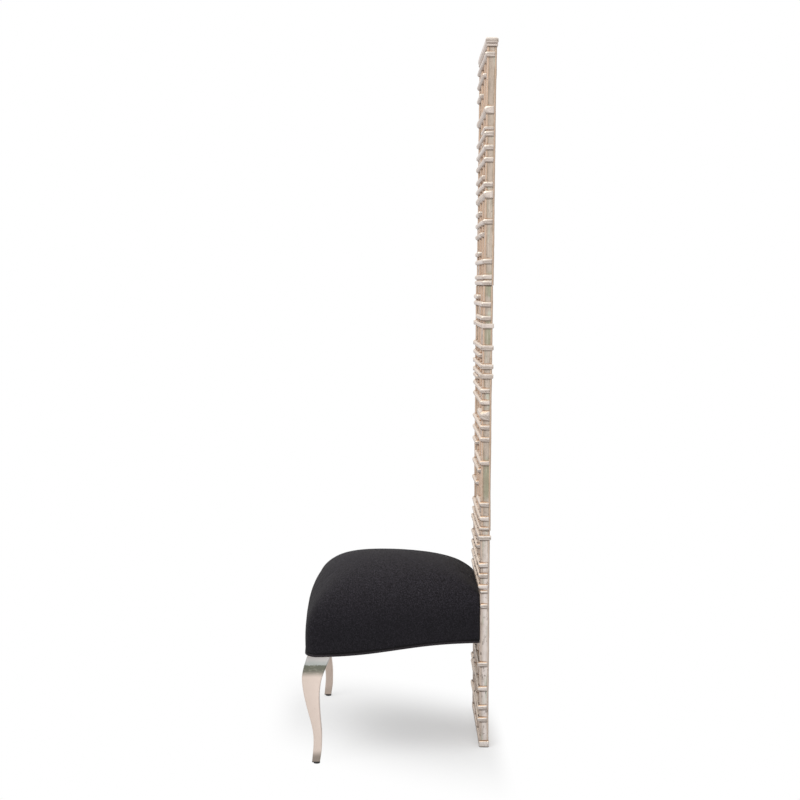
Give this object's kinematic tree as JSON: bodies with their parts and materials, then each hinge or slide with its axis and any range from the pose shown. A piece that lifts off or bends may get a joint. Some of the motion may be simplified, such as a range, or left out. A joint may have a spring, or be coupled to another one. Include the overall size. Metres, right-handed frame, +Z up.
{
  "type": "high-backed side chair",
  "caption": "Armless side chair: a domed upholstered seat on curved front legs, joined to a tall narrow fretwork back of rounded sticks that stands on the floor.",
  "frame": {"origin": "floor level, middle of the chair's width and depth", "axes": "+Z up, the sitter faces -Y, the sitter's left side is +X"},
  "size_m": [0.6744, 0.5424, 1.9999],
  "materials": {
    "leafed_wood": "champagne silver leaf with a worn lacquer, satin",
    "leafed_leg": "brighter champagne silver leaf, semi-gloss",
    "wool_cover": "matt black wool cloth",
    "wool_welt": "matt black wool cloth over cord",
    "foam": "open cell foam",
    "plywood": "raw plywood",
    "dust_cloth": "thin black cloth",
    "frame_wood": "raw beech",
    "glide": "matt black",
    "bolt_steel": "zinc plated"
  },
  "bodies": {
    "root": {"left_stile_lower": "leafed_wood", "right_stile_lower": "leafed_wood", "left_stile_middle": "leafed_wood", "right_stile_middle": "leafed_wood", "left_stile_upper": "leafed_wood", "right_stile_upper": "leafed_wood", "inner_uprights_lower": "leafed_wood", "inner_uprights_middle": "leafed_wood", "inner_uprights_upper": "leafed_wood", "short_posts": "leafed_wood", "top_rail": "leafed_wood", "bottom_rail": "leafed_wood", "part_sticks_lower": "leafed_wood", "part_sticks_middle": "leafed_wood", "part_sticks_upper": "leafed_wood", "cross_stick_01": "leafed_wood", "cross_stick_02": "leafed_wood", "cross_stick_03": "leafed_wood", "cross_stick_04": "leafed_wood", "cross_stick_05": "leafed_wood", "cross_stick_06": "leafed_wood", "cross_stick_07": "leafed_wood", "cross_stick_08": "leafed_wood", "cross_stick_09": "leafed_wood", "cross_stick_10": "leafed_wood", "cross_stick_11": "leafed_wood", "cross_stick_12": "leafed_wood", "cross_stick_13": "leafed_wood", "cross_stick_14": "leafed_wood", "cross_stick_15": "leafed_wood", "cross_stick_16": "leafed_wood", "cross_stick_17": "leafed_wood", "cross_stick_18": "leafed_wood", "cross_stick_19": "leafed_wood", "cross_stick_20": "leafed_wood", "cross_stick_21": "leafed_wood", "cross_stick_22": "leafed_wood", "cross_stick_23": "leafed_wood", "cross_stick_24": "leafed_wood", "cross_stick_25": "leafed_wood", "cross_stick_26": "leafed_wood", "cross_stick_27": "leafed_wood", "cross_stick_28": "leafed_wood", "cross_stick_29": "leafed_wood", "cross_stick_30": "leafed_wood", "seat_cover": "wool_cover", "seat_welt": "wool_welt", "seat_foam": "foam", "seat_deck": "plywood", "dust_cloth": "dust_cloth", "front_rail": "frame_wood", "rear_rail": "frame_wood", "left_side_rail": "frame_wood", "right_side_rail": "frame_wood", "corner_blocks": "frame_wood", "left_leg": "leafed_leg", "right_leg": "leafed_leg", "glides": "glide", "bolts": "bolt_steel"}
  },
  "joints": []
}
